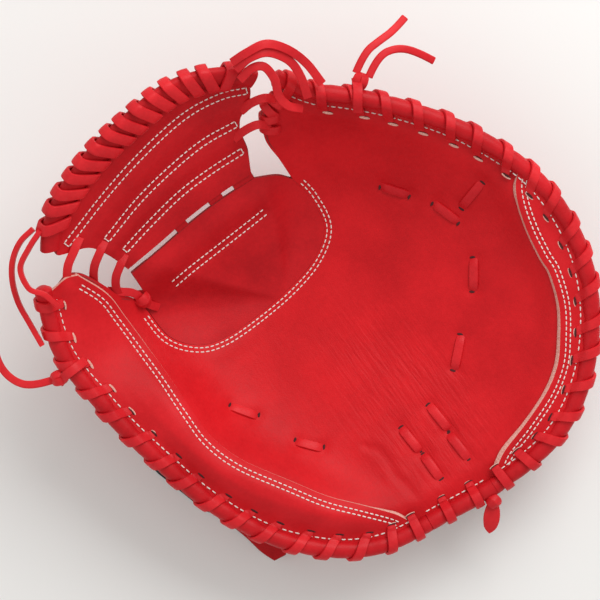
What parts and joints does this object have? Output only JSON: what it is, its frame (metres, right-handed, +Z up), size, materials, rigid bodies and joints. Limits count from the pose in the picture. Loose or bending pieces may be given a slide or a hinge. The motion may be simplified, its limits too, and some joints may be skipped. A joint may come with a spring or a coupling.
{
  "type": "baseball catcher's mitt",
  "caption": "Round padded leather catching mitt lying open on its back, with a laced web, rolled rim binding, folding thumb and finger sides and a wrist strap.",
  "frame": {"origin": "centre of the bottom face of the mitt's box, on the surface that it lies on, without the free lace tails", "axes": "+Z up out of the pocket, +Y towards the fingers, -X towards the thumb, and the web at the upper left"},
  "size_m": [0.3351, 0.2941, 0.1326],
  "materials": {
    "palm_leather": "satin, full grain",
    "welt_leather": "satin, full grain",
    "web_leather": "satin, full grain",
    "binder_leather": "satin",
    "binding_leather": "satin",
    "lace": "satin, waxed",
    "back_leather": "satin, full grain",
    "pad_felt": "matt felt",
    "lining_leather": "soft matt",
    "hook_and_loop": "matt pile",
    "cuff_fabric": "matt knit"
  },
  "bodies": {
    "palm": {"palm_leather": "palm_leather", "web_base_panel": "web_leather", "web_panel": "web_leather", "web_back_panel": "web_leather", "web_bridges": "binder_leather", "web_binder": "binder_leather", "web_top_lace": "binder_leather", "palm_pad": "pad_felt", "heel_pad": "pad_felt", "palm_lining": "lining_leather", "palm_back": "back_leather", "wrist_binding": "binding_leather", "binding_heel": "binding_leather", "rim_lace_heel": "lace", "wrist_strap": "back_leather", "loop_patch": "hook_and_loop", "wrist_cuff": "cuff_fabric", "palm_lace_bars": "lace", "crotch_lace": "lace", "web_lace_thumb": "lace", "web_lace_finger": "lace", "heel_lace_end": "lace"},
    "thumb_side": {"thumb_welt_panel": "welt_leather", "thumb_pad": "pad_felt", "thumb_lining": "lining_leather", "thumb_back": "back_leather", "thumb_loop": "lining_leather", "binding_thumb": "binding_leather", "rim_lace_thumb": "lace", "thumb_lace_bars": "lace", "left_knot": "lace", "left_tail": "lace"},
    "finger_side": {"finger_welt_panel": "welt_leather", "finger_pad": "pad_felt", "finger_lining": "lining_leather", "finger_back": "back_leather", "finger_loop": "lining_leather", "binding_finger": "binding_leather", "rim_lace_finger": "lace", "finger_lace_bars": "lace", "top_knot": "lace", "top_tail_a": "lace", "top_tail_b": "lace"},
    "strap_end": {"strap_tab": "back_leather", "hook_patch": "hook_and_loop"}
  },
  "joints": [
    {"name": "thumb_fold", "type": "hinge", "parent": "palm", "child": "thumb_side", "pos_m": [0.06605, -0.11784, 0.046], "axis": [-0.8194, 0.5691, 0.0687], "range_deg": [0, 20], "deforming": ["palm_leather", "web_lace_thumb", "crotch_lace"]},
    {"name": "finger_fold", "type": "hinge", "parent": "palm", "child": "finger_side", "pos_m": [0.09805, -0.09884, 0.046], "axis": [0.5136, -0.856, -0.0587], "range_deg": [0, 17], "deforming": ["palm_leather", "web_lace_finger"]},
    {"name": "strap_tab_lift", "type": "hinge", "parent": "palm", "child": "strap_end", "pos_m": [-0.00295, -0.10764, 0.0026], "axis": [-0.5736, 0.8192, 0], "range_deg": [0, 45]}
  ]
}
